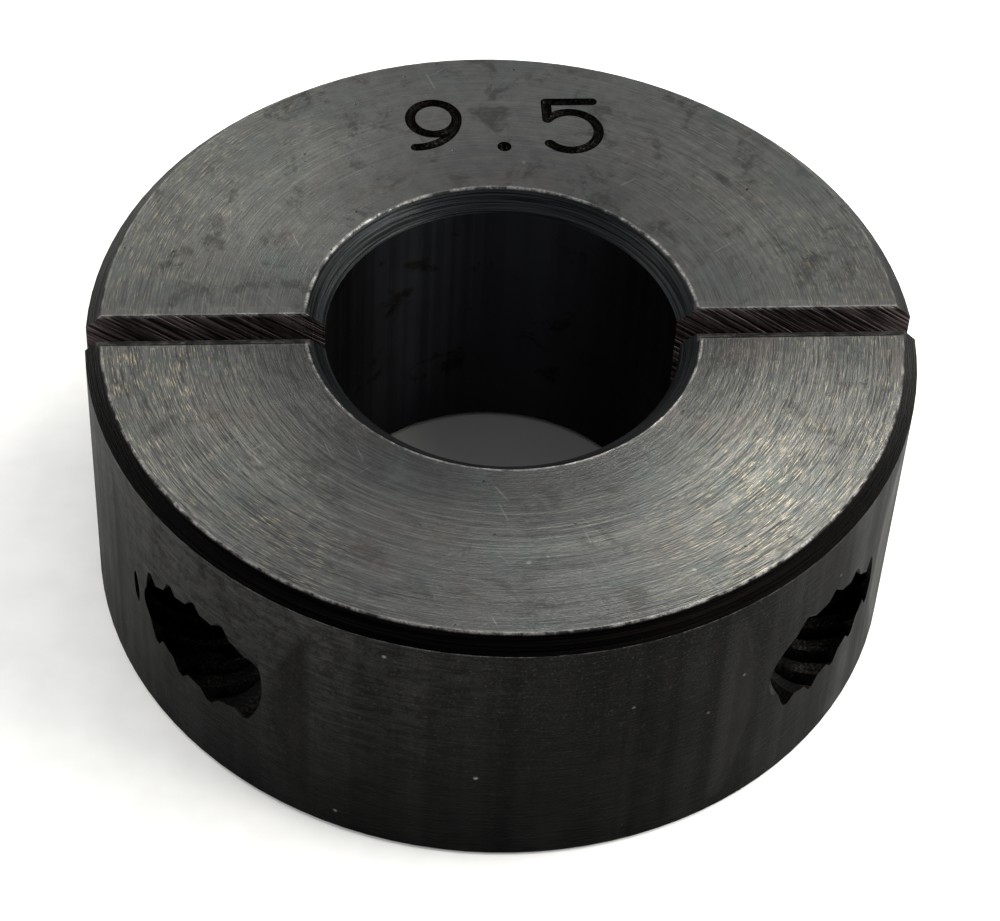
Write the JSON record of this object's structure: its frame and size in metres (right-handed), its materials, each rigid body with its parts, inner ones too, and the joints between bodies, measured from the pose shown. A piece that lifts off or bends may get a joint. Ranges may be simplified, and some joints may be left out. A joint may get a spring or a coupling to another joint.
{
  "type": "shaft collar",
  "caption": "Two-piece clamping shaft collar: a split steel ring whose halves are drawn round a shaft by socket head cap screws.",
  "frame": {"origin": "on the shaft axis, in the lower end face", "axes": "+Z along the shaft, towards the face with the stamped bore size; X runs along the split; the tapped half is on the -Y side and the screws enter from the +Y side"},
  "size_m": [0.0222, 0.0222, 0.0087],
  "materials": {
    "collar": "black oxide, fine turned lines, satin",
    "screw": "black oxide alloy steel, satin"
  },
  "bodies": {
    "front_body": {"front_half": "collar"},
    "rear_body": {"rear_half": "collar"},
    "left_screw_body": {"left_screw": "screw"},
    "right_screw_body": {"right_screw": "screw"}
  },
  "joints": [
    {"name": "opening", "type": "slide", "parent": "front_body", "child": "rear_body", "axis": [0, 1, 0], "range_m": [-0.0008, 0.0034]},
    {"name": "left_screw_turn", "type": "hinge", "parent": "rear_body", "child": "left_screw_body", "pos_m": [-0.0081, 0, 0.00437], "axis": [0, 1, 0], "range_deg": [-375, 1560]},
    {"name": "right_screw_turn", "type": "hinge", "parent": "rear_body", "child": "right_screw_body", "pos_m": [0.0081, 0, 0.00437], "axis": [0, 1, 0], "range_deg": [-375, 1560]}
  ],
  "couplings": [
    {"joint": "left_screw_turn", "follows": "opening", "rad_per_m": 7915.7},
    {"joint": "right_screw_turn", "follows": "opening", "rad_per_m": 7915.7}
  ]
}
